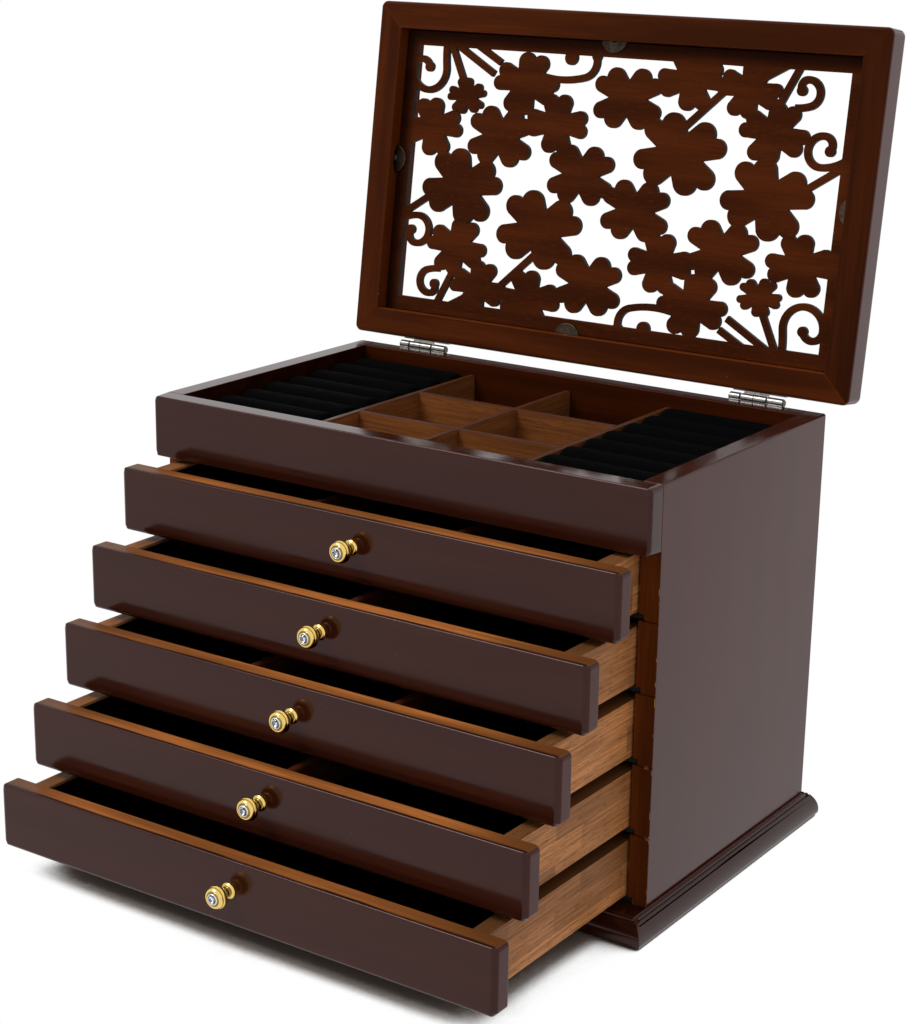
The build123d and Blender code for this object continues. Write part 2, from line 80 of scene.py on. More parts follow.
def colour(name, words, default):
    """A colour that a user may change."""
    return FloatVectorProperty(
        name=name, description=words, subtype="COLOR", size=3, min=0, max=1, default=default,
    )


def length(name, words, default):
    """A length in metres that a user may change."""
    return FloatProperty(
        name=name, description=words, unit="LENGTH", subtype="DISTANCE", min=0, default=default,
    )


def share(name, words, default):
    """A share from 0 to 1 that a user may change."""
    return FloatProperty(name=name, description=words, subtype="FACTOR", min=0, max=1, default=default)


class LacquerFinish(bpy.types.PropertyGroup):
    """The dark lacquer of the case, the drawer fronts and the lid."""

    body: colour("Lacquer", "Colour of the dark lacquer", (0.028, 0.0062, 0.0026))
    # Painted sheen: side-facing lacquer gets this redder body colour, standing in for the warmer reflection
    # the sides show
    side: colour("Sides", "Body colour of the lacquer on the sides", (0.050, 0.0050, 0.0020))
    glint: colour("Glint", "Warm tint of the lacquer's reflections", (1.0, 0.72, 0.72))
    red: colour("Worn Edge", "Red-brown that shows where the lacquer is thin", (0.080, 0.016, 0.006))
    stain: colour("Top Stain", "Orange stain on the tops of the drawer fronts", (0.49, 0.160, 0.037))
    rust: colour("Bare Stile", "Rusty stain on the bare front edges of the case", (0.125, 0.0290, 0.0044))
    inside: colour("Inner Wall", "Dark red-brown of the case's inner walls", (0.050, 0.0092, 0.0012))
    lid: colour("Lid Wood", "Red-brown of the lid's inner faces", (0.072, 0.0145, 0.0024))
    roughness: share("Roughness", "Roughness of the lacquer", 0.13)
    edge: length("Edge", "Width of the softened edges", 0.4 * MM)


class TimberFinish(bpy.types.PropertyGroup):
    """The bare and stained wood inside the box."""

    light: colour("Drawer Wood", "Light part of the bare drawer wood", (0.66, 0.275, 0.094))
    dark: colour("Drawer Fibre", "Dark part of the bare drawer wood", (0.17, 0.060, 0.017))
    divider: colour("Tray Dividers", "Stain of the thin tray dividers", (0.30, 0.100, 0.028))
    divider_dark: colour("Tray Divider Strokes", "Dark strokes of the tray dividers", (0.085, 0.024, 0.007))
    red: colour("Drawer Dividers", "Stain of the drawers' dividers", (0.105, 0.026, 0.010))
    panel: colour("Black Panel", "Faced panels under the drawers and the tray", (0.010, 0.009, 0.0085))
    edge: length("Edge", "Width of the softened edges", 0.3 * MM)


class ClothFinish(bpy.types.PropertyGroup):
    """The velvet linings, the ring rolls and the felt."""

    velvet: colour("Velvet", "Colour of the black velvet", (0.0016, 0.0016, 0.0018))
    felt: colour("Felt", "Colour of the felt under the base", (0.012, 0.012, 0.012))
    thickness: length("Thickness", "Thickness of the velvet lining", 0.8 * MM)
    swell: length("Swell", "Furthest that the filling may push a roll's cloth", 1.2 * MM)
    pressure: FloatProperty(name="Filling", description="Pressure of the rolls' filling", min=0, default=4.0)
    rolls: IntProperty(name="Rolls", description="Rolls side by side in a bank", min=1, default=8)


class MetalFinish(bpy.types.PropertyGroup):
    """The knobs, hinges, retainers and stones."""

    brass: colour("Brass", "Colour of the polished brass knobs", (0.86, 0.60, 0.17))
    nickel: colour("Nickel", "Colour of the bright hinges", (0.27, 0.26, 0.245))
    steel: colour("Steel", "Colour of the dark hinge pins", (0.09, 0.088, 0.085))
    silver: colour("Silver", "Colour of the rings round the stones", (0.80, 0.80, 0.79))
    bronze: colour("Bronze", "Colour of the dark retainers", (0.068, 0.050, 0.034))
    stone: colour("Stone", "Tint of the clear stones", (0.93, 0.96, 0.99))


class StageSettings(bpy.types.PropertyGroup):
    """The floor, the light and the camera."""

    floor: colour("Floor", "Colour of the floor", (0.66, 0.63, 0.60))
    shade: colour("Shade", "Colour of the floor in the object's shadow", (0.31, 0.25, 0.21))
    shadow: length("Shadow", "How far off a piece still shades the floor", 0.15)
    ambient: FloatProperty(name="Ambient", description="Even light from all round", min=0, default=0.56)
    key: FloatProperty(name="Key", description="Strength of the high light from the left", min=0, default=1.5)
    eye: FloatVectorProperty(
        name="Camera Place", description="Where the camera stands", subtype="TRANSLATION", unit="LENGTH",
        default=(0.6133, -0.9255, 0.4944),
    )
    turn: FloatVectorProperty(
        name="Camera Turn", description="Azimuth, elevation and roll of the camera", subtype="EULER",
        unit="ROTATION", default=tuple(math.radians(angle) for angle in (34.54, 16.62, 0.78)),
    )
    lens: FloatProperty(name="Lens", description="Focal length in millimetres", min=1, default=76.2)


# Shapes

def from_node(name, merge=0.02 * MM):
    """A merged copy of a CAD node's triangles, with flat areas made whole."""
    shape = bmesh.new()
    shape.from_mesh(frame["nodes"][name].data)
    bmesh.ops.remove_doubles(shape, verts=shape.verts, dist=merge)
    bmesh.ops.dissolve_limit(shape, angle_limit=math.radians(1), verts=shape.verts, edges=shape.edges)
    return shape


def sharp_edges(shape, angle):
    """The edges whose two faces turn by more than an angle in degrees."""
    limit = math.radians(angle)
    return [edge for edge in shape.edges if len(edge.link_faces) == 2 and edge.calc_face_angle() > limit]


def bevelled(shape, edges, width, segments, clamp=False):
    """Round some edges; the new faces are given back."""
    made = bmesh.ops.bevel(
        shape, geom=edges, affect="EDGES", offset=width, offset_type="OFFSET", segments=segments,
        profile=0.5, material=-1, clamp_overlap=clamp,
    )
    return made["faces"]


def soften(shape, edge, angle=40):
    """Bevel the sharp edges and mark the new faces as worn."""
    worn = shape.faces.layers.float.new("worn")
    for face in bevelled(shape, sharp_edges(shape, angle), edge, 2):
        face[worn] = 1.0


def mark(shape, name, test):
    """A mask on the faces that pass a test."""
    layer = shape.faces.layers.float.new(name)
    for face in shape.faces:
        face[layer] = 1.0 if test(face) else 0.0


def finish_piece(shape, node, form, slot, *finishes, even=True):
    """Make a bmesh the finished piece that stands for a node and rides on its body."""
    name = f"{node}.{form}"
    mesh = bpy.data.meshes.new(name)
    for face in shape.faces:
        face.smooth = True
    shape.to_mesh(mesh)
    shape.free()
    piece = bpy.data.objects.new(name, mesh)
    bpy.context.scene.collection.objects.link(piece)
    for finish in finishes:
        mesh.materials.append(finish)
    if even:
        piece.modifiers.new("Even shading", "WEIGHTED_NORMAL").keep_sharp = True
    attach(piece, BODY_OF[node])
    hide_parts(node)
    return piece


def finished_node(node, finish, slot, edge, inlays=(), masks=(), merge=0.02 * MM, angle=40):
    """A softened copy of a node, with other finishes and masks on the faces that pass a test."""
    shape = from_node(node, merge)
    for number, (_, test) in enumerate(inlays, start=1):
        for face in shape.faces:
            if test(face):
                face.material_index = number
    soften(shape, edge, angle)
    for name, test in masks:
        mark(shape, name, test)
    finish_piece(shape, node, "finished", slot, finish, *[other for other, _ in inlays])


def turned(profile, steps):
    """A shape turned about Z from pairs of radius and height, closed at its poles."""
    shape = bmesh.new()
    points = [shape.verts.new((radius, 0, height)) for radius, height in profile]
    edges = [shape.edges.new(pair) for pair in zip(points, points[1:])]
    bmesh.ops.spin(
        shape, geom=points + edges, cent=(0, 0, 0), axis=(0, 0, 1), angle=math.tau, steps=steps,
        use_merge=True,
    )
    bmesh.ops.remove_doubles(shape, verts=shape.verts, dist=0.001 * MM)
    bmesh.ops.recalc_face_normals(shape, faces=shape.faces)
    return shape


def round_corners(shape, low, high, radius, fade):
    """Round the four corners of a board's face; fade 1 leaves its back square and 0 rounds it all through."""
    for axis in (0, 2):
        for part in (0.2, 0.45, 0.7, 1.0):
            for side in (low[axis] + radius * part, high[axis] - radius * part):
                spot, way = Vector(), Vector()
                spot[axis], way[axis] = side, 1
                everything = shape.verts[:] + shape.edges[:] + shape.faces[:]
                bmesh.ops.bisect_plane(shape, geom=everything, plane_co=spot, plane_no=way, dist=0.001 * MM)
    for vert in shape.verts:
        across = vert.co.x - min(max(vert.co.x, low.x + radius), high.x - radius)
        up = vert.co.z - min(max(vert.co.z, low.z + radius), high.z - radius)
        if across and up:
            pull = 1 - max(abs(across), abs(up)) / math.hypot(across, up)
            pull *= 1 - fade * (vert.co.y - low.y) / (high.y - low.y)
            vert.co.x -= across * pull
            vert.co.z -= up * pull


def loose_parts(shape):
    """The points of each loose part of a shape, which is used up."""
    seen, parts = set(), []
    for vert in shape.verts:
        if vert in seen:
            continue
        seen.add(vert)
        waiting, points = [vert], []
        while waiting:
            here = waiting.pop()
            points.append(here.co.copy())
            near = [edge.other_vert(here) for edge in here.link_edges]
            waiting += [other for other in near if other not in seen]
            seen.update(near)
        parts.append(points)
    shape.free()
    return parts


def boxed(low, high):
    """A box between two corners."""
    shape = bmesh.new()
    bmesh.ops.create_cube(shape, size=1)
    low, high = Vector(low), Vector(high)
    bmesh.ops.scale(shape, verts=shape.verts, vec=high - low)
    bmesh.ops.translate(shape, verts=shape.verts, vec=(low + high) / 2)
    return shape


# Nodes

def put(tree, value, socket):
    """Give a socket a link or a value."""
    if isinstance(value, bpy.types.NodeSocket):
        tree.links.new(value, socket)
    else:
        socket.default_value = value


def add(tree, kind, inputs=None, **settings):
    """A node with its settings and inputs."""
    made = tree.nodes.new(kind)
    for key, value in settings.items():
        setattr(made, key, value)
    for key, value in (inputs or {}).items():
        put(tree, value, made.inputs[key])
    return made


def calc(tree, operation, first, second=0.0):
    """One sum on two values, kept between 0 and 1."""
    made = add(tree, "ShaderNodeMath", operation=operation, use_clamp=True)
    put(tree, first, made.inputs[0])
    put(tree, second, made.inputs[1])
    return made.outputs[0]


def ramp(tree, value, low, high, start=0.0, end=1.0):
    """A smooth step of a value from low to high."""
    made = add(tree, "ShaderNodeMapRange", interpolation_type="SMOOTHSTEP")
    for socket, entry in zip(made.inputs, (value, low, high, start, end)):
        put(tree, entry, socket)
    return made.outputs[0]


def mix(tree, factor, first, second):
    """One colour laid over another."""
    made = add(tree, "ShaderNodeMix", data_type="RGBA")
    put(tree, factor, made.inputs[0])
    put(tree, first if isinstance(first, bpy.types.NodeSocket) else (*first, 1), made.inputs[6])
    put(tree, second if isinstance(second, bpy.types.NodeSocket) else (*second, 1), made.inputs[7])
    return made.outputs[2]


def over(tree, shown, tint, mask, strength):
    """A tint laid over what is shown by a share of a mask."""
    return mix(tree, calc(tree, "MULTIPLY", mask, strength), shown, tint)


def attribute(tree, name):
    """A mask that a piece carries on its faces or points."""
    return add(tree, "ShaderNodeAttribute", attribute_name=name).outputs["Fac"]


def place_of(tree, turn=ALONG_X):
    """Object coordinates, turned so that the pattern's X runs along the grain."""
    here = add(tree, "ShaderNodeTexCoord").outputs["Object"]
    if turn == ALONG_X:
        return here
    return add(tree, "ShaderNodeMapping", {"Vector": here, "Rotation": turn}).outputs["Vector"]


def noise(tree, place, stretch, detail):
    """Noise with its own scale along each axis."""
    spread = add(tree, "ShaderNodeMapping", {"Vector": place, "Scale": stretch}).outputs["Vector"]
    inputs = {"Vector": spread, "Scale": 1.0, "Detail": detail}
    return add(tree, "ShaderNodeTexNoise", inputs).outputs["Fac"]


def bump(tree, height, strength, distance):
    """A bump from a height."""
    inputs = {"Height": height, "Strength": strength, "Distance": distance}
    return add(tree, "ShaderNodeBump", inputs).outputs["Normal"]


def new_group(name, inputs, outputs):
    """An empty shader node group with named sockets."""
    tree = bpy.data.node_groups.new(name, "ShaderNodeTree")
    for label, kind in inputs:
        tree.interface.new_socket(label, in_out="INPUT", socket_type=kind)
    for label in outputs:
        tree.interface.new_socket(label, in_out="OUTPUT", socket_type="NodeSocketFloat")
    return tree, tree.nodes.new("NodeGroupInput").outputs, tree.nodes.new("NodeGroupOutput").inputs


def wood_figure_group():
    """Broad figure, fine fibre and short pores along X."""
    tree, given, out = new_group(
        "Wood Figure", [("Place", "NodeSocketVector")], ["Figure", "Fibre", "Pores"],
    )
    put(tree, ramp(tree, noise(tree, given["Place"], (7, 75, 75), 3.0), 0.34, 0.68), out["Figure"])
    put(tree, ramp(tree, noise(tree, given["Place"], (28, 760, 760), 3.0), 0.30, 0.72), out["Fibre"])
    put(tree, ramp(tree, noise(tree, given["Place"], (170, 2100, 2100), 1.0), 0.60, 0.74), out["Pores"])
    return tree


def edge_wear_group():
    """Wear that follows a piece's softened edges and breaks up along them."""
    tree, given, out = new_group(
        "Edge Wear", [("Place", "NodeSocketVector"), ("Worn", "NodeSocketFloat")], ["Rub", "Chips"],
    )
    rub = ramp(tree, noise(tree, given["Place"], (90, 90, 90), 3.0), 0.30, 0.62, 0.35, 1.0)
    chips = ramp(tree, noise(tree, given["Place"], (240, 240, 240), 2.0), 0.60, 0.66)
    put(tree, calc(tree, "MULTIPLY", rub, given["Worn"]), out["Rub"])
    put(tree, calc(tree, "MULTIPLY", chips, given["Worn"]), out["Chips"])
    return tree


def dust_group():
    """A few small pale specks."""
    tree, given, out = new_group("Dust Specks", [("Place", "NodeSocketVector")], ["Specks"])
    cells = add(tree, "ShaderNodeTexVoronoi", {"Vector": given["Place"], "Scale": 95.0})
    near = ramp(tree, cells.outputs["Distance"], 0.018, 0.045, 1.0, 0.0)
    some = ramp(tree, noise(tree, given["Place"], (31, 31, 31), 0.0), 0.62, 0.68)
    put(tree, calc(tree, "MULTIPLY", near, some), out["Specks"])
    return tree


def pile_group():
    """The uneven lie of a cloth's pile, and its height."""
    tree, given, out = new_group("Cloth Pile", [("Place", "NodeSocketVector")], ["Lie", "Height"])
    put(tree, ramp(tree, noise(tree, given["Place"], (110, 110, 110), 3.0), 0.35, 0.70), out["Lie"])
    put(tree, noise(tree, given["Place"], (2600, 2600, 2600), 1.0), out["Height"])
    return tree


def tarnish_group():
    """Soft clouds and fine rubbing on metal."""
    tree, given, out = new_group("Metal Tarnish", [("Place", "NodeSocketVector")], ["Clouds", "Rubbing"])
    put(tree, ramp(tree, noise(tree, given["Place"], (420, 420, 420), 3.0), 0.38, 0.70), out["Clouds"])
    put(tree, noise(tree, given["Place"], (2400, 2400, 2400), 1.0), out["Rubbing"])
    return tree


GROUP_MAKERS = {
    "Wood Figure": wood_figure_group,
    "Edge Wear": edge_wear_group,
    "Dust Specks": dust_group,
    "Cloth Pile": pile_group,
    "Metal Tarnish": tarnish_group,
}


def group(tree, name, **inputs):
    """Place a shared node group in a material, made on its first use."""
    shared = bpy.data.node_groups.get(name) or GROUP_MAKERS[name]()
    placed = add(tree, "ShaderNodeGroup", node_tree=shared)
    for key, value in inputs.items():
        put(tree, value, placed.inputs[key])
    return placed.outputs


def new_finish(name, **plain):
    """A new material with the plain values of its shader."""
    finish = bpy.data.materials.new(name)
    finish.use_nodes = True
    shader = finish.node_tree.nodes["Principled BSDF"]
    for key, value in plain.items():
        shader.inputs[key.replace("_", " ")].default_value = value
    return finish, finish.node_tree, shader


def dress(tree, shader, shown, rough, relief):
    """Give a shader its colour, a roughness by a mask and its two ends, and a bump by its height."""
    mask, low, high = rough
    put(tree, shown, shader.inputs["Base Color"])
    put(tree, ramp(tree, mask, 0.0, 1.0, low, high), shader.inputs["Roughness"])
    put(tree, bump(tree, *relief), shader.inputs["Normal"])


def made_once(name, maker, *values):
    """A finish by name, made on its first use."""
    return bpy.data.materials.get(name) or maker(name, *values)


# Finishes

def lacquer(name, turn, body=None, ior=1.38):
    """Dark lacquer over faint figure, thin and red along its edges."""
    look = bpy.context.scene.organiser_lacquer
    body = body or look.body
    finish, tree, shader = new_finish(name, IOR=ior, Specular_Tint=(*look.glint, 1))
    place = place_of(tree, turn)
    wood = group(tree, "Wood Figure", Place=place)
    wear = group(tree, "Edge Wear", Place=place, Worn=attribute(tree, "worn"))
    dust = group(tree, "Dust Specks", Place=place)
    deep = over(tree, body, Vector(body) * 1.5, wood["Figure"], 0.5)
    rubbed = mix(tree, wear["Rub"], deep, look.red)
    dusty = over(tree, rubbed, (0.35, 0.31, 0.28), dust["Specks"], 0.25)
    put(tree, dusty, shader.inputs["Base Color"])
    cloud = noise(tree, place, (16, 16, 16), 3.0)
    rough = ramp(tree, cloud, 0.3, 0.7, look.roughness - 0.04, look.roughness + 0.05)
    put(tree, rough, shader.inputs["Roughness"])
    put(tree, bump(tree, noise(tree, place, (320, 320, 320), 1.0), 0.05, 0.2 * MM), shader.inputs["Normal"])
    return finish


def stained_top(name):
    """The tops of the drawer fronts: orange stain, dark along the front edge and at the ends."""
    look = bpy.context.scene.organiser_lacquer
    finish, tree, shader = new_finish(name, IOR=1.45, Specular_IOR_Level=0.12)
    place = place_of(tree)
    wood = group(tree, "Wood Figure", Place=place)
    wear = group(tree, "Edge Wear", Place=place, Worn=attribute(tree, "worn"))
    across = add(tree, "ShaderNodeSeparateXYZ", {"Vector": place}).outputs["X"]
    end = ramp(tree, calc(tree, "ABSOLUTE", across), 85 * MM, 150 * MM, 0.0, 0.95)
    uneven = calc(tree, "ADD", attribute(tree, "depth"), calc(tree, "MULTIPLY", wood["Fibre"], 0.10))
    stain = mix(tree, wood["Figure"], Vector(look.stain) * 0.52, Vector(look.stain) * 1.2)
    stain = over(tree, stain, Vector(look.stain) * 0.36, wood["Fibre"], 0.55)
    stain = mix(tree, end, stain, Vector(look.stain) * 0.24)
    shown = mix(tree, ramp(tree, uneven, 0.17, 0.30), Vector(look.body) * 0.6, stain)
    shown = over(tree, shown, look.body, wear["Rub"], 0.4)
    dress(tree, shader, shown, (wood["Fibre"], 0.34, 0.46), (wood["Fibre"], 0.10, 0.15 * MM))
    return finish


def bare_stile(name):
    """The case's bare front edges: rusty stained wood, chipped along its outer edge."""
    look = bpy.context.scene.organiser_lacquer
    finish, tree, shader = new_finish(name, IOR=1.45, Specular_IOR_Level=0.06)
    place = place_of(tree, ALONG_Z)
    wood = group(tree, "Wood Figure", Place=place)
    wear = group(tree, "Edge Wear", Place=place, Worn=attribute(tree, "worn"))
    shown = mix(tree, wood["Figure"], Vector(look.rust) * 0.7, Vector(look.rust) * 1.35)
    shown = over(tree, shown, Vector(look.rust) * 0.45, wood["Fibre"], 0.45)
    shown = mix(tree, wear["Chips"], shown, (0.46, 0.25, 0.10))
    dress(tree, shader, shown, (wood["Fibre"], 0.45, 0.60), (wood["Fibre"], 0.20, 0.15 * MM))
    return finish


def satin_wood(name, turn, tint):
    """Red-brown satin wood with long grain, as on the lid's inner faces and the case's inner walls, with
    painted shade on masked recess walls and painted light on masked sill walls.
    """
    finish, tree, shader = new_finish(name, IOR=1.45, Specular_IOR_Level=0.04)
    place = place_of(tree, turn)
    wood = group(tree, "Wood Figure", Place=place)
    wear = group(tree, "Edge Wear", Place=place, Worn=attribute(tree, "worn"))
    dust = group(tree, "Dust Specks", Place=place)
    shown = mix(tree, wood["Figure"], Vector(tint) * 0.64, Vector(tint) * 1.34)
    shown = over(tree, shown, Vector(tint) * 0.55, wood["Fibre"], 0.40)
    # Painted shade darkens the masked recess walls; painted light brightens the masked sill walls
    shown = over(tree, shown, Vector(tint) * 0.3, attribute(tree, "painted_recess_shade"), 0.35)
    shown = over(tree, shown, Vector(tint) * 2.6, attribute(tree, "painted_sill_light"), 0.5)
    shown = over(tree, shown, Vector(tint) * 2.0, wear["Rub"], 0.5)
    shown = mix(tree, dust["Specks"], shown, (0.40, 0.36, 0.32))
    dress(tree, shader, shown, (wood["Fibre"], 0.36, 0.48), (wood["Fibre"], 0.06, 0.15 * MM))
    return finish


def fret_wood(name):
    """The pierced panel: red-brown satin faces with fine pores, painted shadow along its left and top
    borders, and cut edges painted dark grey as painted sheen.
    """
    look = bpy.context.scene.organiser_lacquer
    finish, tree, shader = new_finish(name, IOR=1.45, Specular_IOR_Level=0.04)
    place = place_of(tree, LID_ALONG)
    wood = group(tree, "Wood Figure", Place=place)
    dust = group(tree, "Dust Specks", Place=place)
    face = mix(tree, wood["Figure"], Vector(look.lid) * 0.62, Vector(look.lid) * 1.34)
    face = over(tree, face, Vector(look.lid) * 0.6, wood["Fibre"], 0.40)
    face = over(tree, face, Vector(look.lid) * 1.9, wood["Pores"], 0.5)
    # Painted shadow: the panel's left and top borders are darkened where the left stile and the top rail
    # shade them
    low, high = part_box("lid_fretwork")
    here = add(tree, "ShaderNodeSeparateXYZ", {"Vector": place_of(tree)}).outputs
    left = ramp(tree, here["X"], low.x + 3 * MM, low.x + 11 * MM, 1.0, 0.0)
    painted_border_shadow = calc(tree, "MAXIMUM", left, ramp(tree, here["Z"], high.z - 9 * MM, high.z - 2 * MM))
    face = over(tree, face, Vector(look.lid) * 0.16, painted_border_shadow, 0.8)
    # Painted sheen: the cut faces get a neutral grey, standing in for the pale light they catch
    cut = mix(tree, wood["Fibre"], (0.024, 0.025, 0.026), (0.050, 0.050, 0.049))
    shown = mix(tree, attribute(tree, "cut"), face, cut)
    shown = mix(tree, dust["Specks"], shown, (0.45, 0.41, 0.37))
    dress(tree, shader, shown, (wood["Fibre"], 0.38, 0.52), (wood["Fibre"], 0.10, 0.15 * MM))
    return finish


def strip_wood(name):
    """The drawers' walls: bare wood glued up from short strips of uneven tint."""
    timber = bpy.context.scene.organiser_timber
    finish, tree, shader = new_finish(name, IOR=1.45, Specular_IOR_Level=0.2)
    place = place_of(tree, ALONG_Y)
    wood = group(tree, "Wood Figure", Place=place)
    here = add(tree, "ShaderNodeSeparateXYZ", {"Vector": place_of(tree)}).outputs
    flat = add(tree, "ShaderNodeCombineXYZ", {"X": here["Y"], "Y": here["Z"]}).outputs[0]
    sizes = {"Scale": 1.0, "Mortar Size": 0.0, "Brick Width": 62 * MM, "Row Height": 11.8 * MM}
    tints = {"Color1": (0, 0, 0, 1), "Color2": (1, 1, 1, 1), "Mortar": (0.5, 0.5, 0.5, 1)}
    strips = add(tree, "ShaderNodeTexBrick", {"Vector": flat, **sizes, **tints}, offset=0.37).outputs["Color"]
    shown = mix(tree, strips, Vector(timber.light) * 0.52, Vector(timber.light) * 1.28)
    shown = over(tree, shown, timber.dark, wood["Fibre"], 0.62)
    shown = over(tree, shown, Vector(timber.dark) * 0.9, wood["Figure"], 0.30)
    shown = over(tree, shown, Vector(timber.dark) * 0.4, wood["Pores"], 0.85)
    shown = over(tree, shown, Vector(timber.dark) * 0.7, attribute(tree, "top"), 0.55)
    # Painted shade: the tops of the right walls are darkened further
    shown = over(tree, shown, Vector(timber.dark) * 0.3, attribute(tree, "stained"), 0.5)
    height = calc(tree, "SUBTRACT", wood["Fibre"], wood["Pores"])
    dress(tree, shader, shown, (wood["Fibre"], 0.42, 0.55), (height, 0.15, 0.15 * MM))
    return finish


def stroked_wood(name, turn, light, dark, rough, strokes):
    """Thin stained wood with fine fibre and short dark strokes."""
    finish, tree, shader = new_finish(name, IOR=1.45, Specular_IOR_Level=0.15)
    place = place_of(tree, turn)
    wood = group(tree, "Wood Figure", Place=place)
    wear = group(tree, "Edge Wear", Place=place, Worn=attribute(tree, "worn"))
    shown = mix(tree, wood["Figure"], Vector(light) * 0.72, Vector(light) * 1.12)
    shown = over(tree, shown, dark, wood["Fibre"], 0.5)
    shown = over(tree, shown, Vector(dark) * 0.5, wood["Pores"], strokes)
    shown = over(tree, shown, Vector(light) * 1.5, wear["Rub"], 0.2)
    shown = over(tree, shown, (0.060, 0.0165, 0.0055), attribute(tree, "top"), 0.95)
    height = calc(tree, "SUBTRACT", wood["Fibre"], wood["Pores"])
    dress(tree, shader, shown, (wood["Fibre"], rough, rough + 0.12), (height, 0.15, 0.15 * MM))
    return finish


def faced_panel(name):
    """A plain black faced panel with a faint grain."""
    timber = bpy.context.scene.organiser_timber
    finish, tree, shader = new_finish(name, IOR=1.45)
    place = place_of(tree)
    wood = group(tree, "Wood Figure", Place=place)
    shown = mix(tree, wood["Fibre"], timber.panel, Vector(timber.panel) * 1.8)
    dress(tree, shader, shown, (wood["Figure"], 0.42, 0.55), (wood["Fibre"], 0.08, 0.1 * MM))
    return finish


def cloth(name, tint, sheen, depth):
    """Pile cloth: near black, with a soft sheen and an uneven lie."""
    finish, tree, shader = new_finish(
        name, Sheen_Weight=sheen, Sheen_Roughness=0.35, Sheen_Tint=(0.55, 0.57, 0.62, 1),
        Specular_IOR_Level=0.015,
    )
    place = place_of(tree)
    pile = group(tree, "Cloth Pile", Place=place)
    shown = mix(tree, pile["Lie"], Vector(tint) * 0.8, Vector(tint) * 1.3)
    dress(tree, shader, shown, (pile["Lie"], 0.80, 0.95), (pile["Height"], 0.5, depth))
    return finish


def black_velvet():
    """The velvet of the linings and the ring rolls."""
    return made_once("black_velvet", cloth, bpy.context.scene.organiser_cloth.velvet, 0.0016, 0.25 * MM)


def metal(name, tint, low, high, dull):
    """Plated or polished metal with faint clouds and rubbing, and painted shade on faces marked as grooves.
    """
    finish, tree, shader = new_finish(name, Metallic=1.0)
    place = place_of(tree)
    age = group(tree, "Metal Tarnish", Place=place)
    shown = over(tree, tint, Vector(tint) * 0.45, age["Clouds"], dull)
    # Painted shade: faces marked as grooves are darkened in place of their shade and dark reflections
    shown = over(tree, shown, Vector(tint) * 0.12, attribute(tree, "groove"), 0.75)
    dress(tree, shader, shown, (age["Clouds"], low, high), (age["Rubbing"], 0.04, 0.05 * MM))
    return finish


def clear_stone(name):
    """A clear cut stone."""
    metals = bpy.context.scene.organiser_metal
    finish, tree, shader = new_finish(name, Transmission_Weight=1.0, IOR=1.75, Roughness=0.0)
    place = place_of(tree)
    age = group(tree, "Metal Tarnish", Place=place)
    shown = mix(tree, age["Clouds"], metals.stone, Vector(metals.stone) * 0.94)
    put(tree, shown, shader.inputs["Base Color"])
    return finish


# Pieces

class ORGANISER_OT_case(bpy.types.Operator):
    """Finish the case: base, sides, back and front rail"""

    bl_idname = "organiser.case"
    bl_label = "Case Boards"

    def execute(self, context):
        look = context.scene.organiser_lacquer
        along = made_once("lacquer_along", lacquer, ALONG_X)
        inside = made_once("inner_wall_wood", satin_wood, ALONG_X, look.inside)
        finished_node("base_board", along, "lacquered_wood", look.edge)
        self.rail(along, inside, look.edge)
        finished_node("case_back", along, "lacquered_wood", look.edge, [(inside, self.is_back_inner)])
        # Painted sheen: the case sides take the redder side body colour, standing in for their warmer
        # reflection
        upright = made_once("lacquer_upright", lacquer, ALONG_Z, look.side, 1.35)
        bare = made_once("bare_stile", bare_stile)
        rail_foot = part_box("front_rail")[0].z
        # Painted shade: the left side's inner wall gets half the inner-wall tint, standing in for the shade
        # it lies in
        wall_in_painted_shade = made_once("shaded_wall_wood", satin_wood, ALONG_X, Vector(look.inside) * 0.5)
        for node, inward, inner in (("case_side_left", 1, wall_in_painted_shade), ("case_side_right", -1, inside)):
            def is_inner(face, inward=inward):
                return face.normal.x * inward > 0.5

            def is_stile(face):
                return face.normal.y < -0.5 and face.calc_center_median().z < rail_foot

            inlays = [(inner, is_inner), (bare, is_stile), (along, lambda face: face.normal.z > 0.9)]
            finished_node(node, upright, "lacquered_wood", look.edge, inlays)
        panel = made_once("faced_black_panel", faced_panel)
        finished_node("dust_boards", panel, "black_panel", context.scene.organiser_timber.edge)
        return {"FINISHED"}

    def is_back_inner(self, face):
        """Whether a face of the back looks into the case."""
        return face.normal.y < -0.9

    def rail(self, finish, inside, edge):
        """The front rail, with its corners rounded in front."""
        shape = from_node("front_rail")
        for face in shape.faces:
            if face.normal.y > 0.9:
                face.material_index = 1
        soften(shape, edge)
        round_corners(shape, *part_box("front_rail"), CORNER, 1)
        finish_piece(shape, "front_rail", "finished", "lacquered_wood", finish, inside)


class ORGANISER_OT_tray(bpy.types.Operator):
    """Finish the tray: its floor, partitions and dividers"""

    bl_idname = "organiser.tray"
    bl_label = "Tray"

    def execute(self, context):
        timber = context.scene.organiser_timber
        tints = (timber.divider, timber.divider_dark, 0.34, 0.5)
        deep = made_once("tray_wood_deep", stroked_wood, ALONG_Y, *tints)
        wide = made_once("tray_wood_wide", stroked_wood, ALONG_X, *tints)
        top = ("top", lambda face: face.normal.z > 0.3)
        for node in ("tray_partition_left", "tray_partition_middle", "tray_partition_right"):
            finished_node(node, deep, "divider_wood", timber.edge, masks=[top])
        for node in ("tray_divider_front", "tray_divider_rear"):
            finished_node(node, wide, "divider_wood", timber.edge, masks=[top])
        finished_node("tray_floor", made_once("faced_black_panel", faced_panel), "black_panel", timber.edge)
        return {"FINISHED"}


